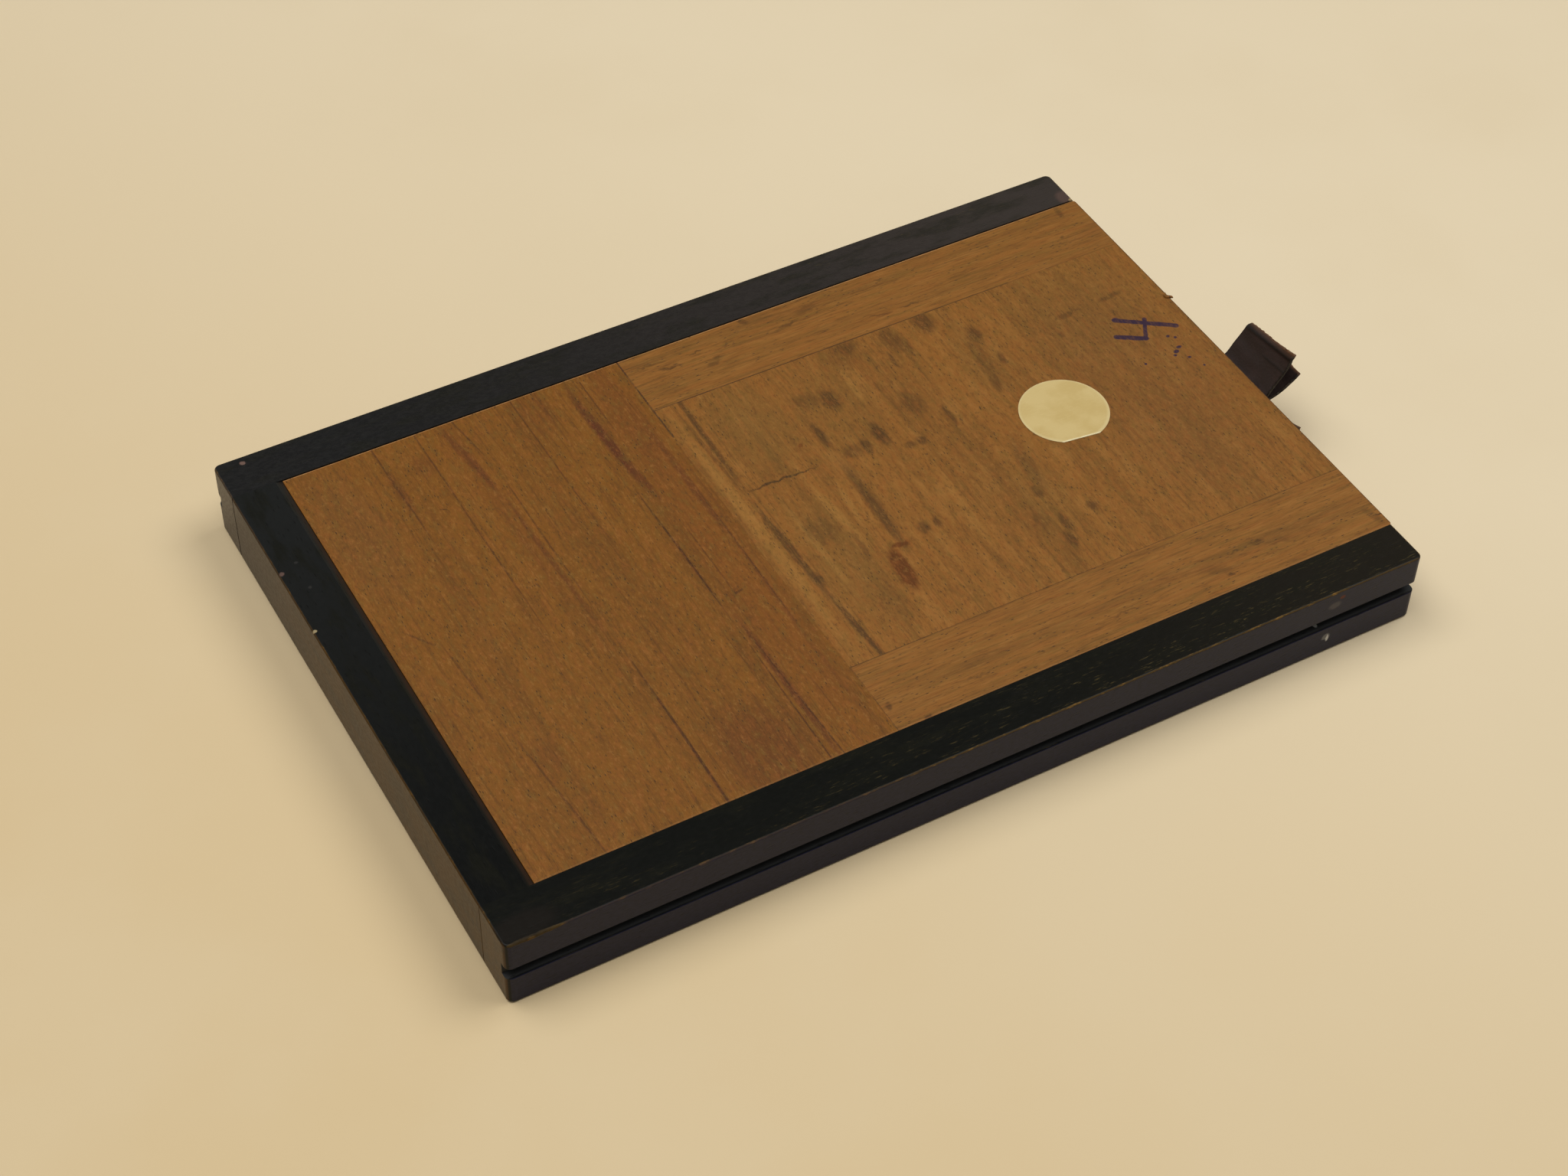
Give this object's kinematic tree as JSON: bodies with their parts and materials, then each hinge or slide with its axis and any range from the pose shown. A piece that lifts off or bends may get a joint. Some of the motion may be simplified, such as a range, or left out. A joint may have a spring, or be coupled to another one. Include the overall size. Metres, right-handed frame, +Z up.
{
  "type": "plate holder",
  "caption": "Double-sided wooden plate holder: black frame with guide grooves, a full-face wooden slide with a leather pull tab on each side, sprung plate wells inside.",
  "frame": {"origin": "middle of the overall footprint, pull tabs included, on the surface that the holder lies on", "axes": "+X from the closed end to the end that the slides pull out of, +Y from the near long side to the far one, +Z up through the upper slide"},
  "size_m": [0.2493, 0.1606, 0.0289],
  "materials": {
    "ebonised_hardwood": "black-stained hardwood, rubbed to a low sheen",
    "slide_hardwood": "oiled reddish-brown hardwood, open pores",
    "blackened_sheet_iron": "matte black paint",
    "spring_steel": "tempered steel",
    "brass": "dulled brass",
    "velvet": "short black pile",
    "tab_leather": "worn black leather",
    "label_paper": "aged gummed paper"
  },
  "bodies": {
    "holder": {"side_rail_near": "ebonised_hardwood", "side_rail_far": "ebonised_hardwood", "end_rail": "ebonised_hardwood", "trap_bar": "ebonised_hardwood", "septum": "blackened_sheet_iron", "pressure_spring_upper": "spring_steel", "pressure_spring_lower": "spring_steel", "spring_rivets": "brass", "plate_lip_upper": "spring_steel", "plate_lip_lower": "spring_steel", "lip_tacks": "brass", "catch_keeper_upper": "brass", "catch_keeper_lower": "brass", "keeper_screws": "brass", "catch_spring_upper": "spring_steel", "catch_spring_lower": "spring_steel", "velvet_strip_upper": "velvet", "velvet_strip_lower": "velvet", "trap_spring_upper": "brass", "trap_spring_lower": "brass"},
    "upper_slide": {"slide_board_upper": "slide_hardwood", "slide_strip_near_upper": "slide_hardwood", "slide_strip_far_upper": "slide_hardwood", "label_disc": "label_paper", "pull_tab_upper": "tab_leather", "tab_pins_upper": "brass"},
    "lower_slide": {"slide_board_lower": "slide_hardwood", "slide_strip_near_lower": "slide_hardwood", "slide_strip_far_lower": "slide_hardwood", "pull_tab_lower": "tab_leather", "tab_pins_lower": "brass"},
    "upper_catch": {"plate_catch_upper": "spring_steel"},
    "lower_catch": {"plate_catch_lower": "spring_steel"}
  },
  "joints": [
    {"name": "upper_slide_pull", "type": "slide", "parent": "holder", "child": "upper_slide", "axis": [1, 0, 0], "range_m": [0, 0.232]},
    {"name": "lower_slide_pull", "type": "slide", "parent": "holder", "child": "lower_slide", "axis": [1, 0, 0], "range_m": [0, 0.232]},
    {"name": "upper_catch_press", "type": "slide", "parent": "holder", "child": "upper_catch", "axis": [1, 0, 0], "range_m": [0, 0.002], "stiffness_N_per_m": 250, "springref_m": -0.004, "deforming": ["catch_spring_upper"]},
    {"name": "lower_catch_press", "type": "slide", "parent": "holder", "child": "lower_catch", "axis": [1, 0, 0], "range_m": [0, 0.002], "stiffness_N_per_m": 250, "springref_m": -0.004, "deforming": ["catch_spring_lower"]}
  ]
}
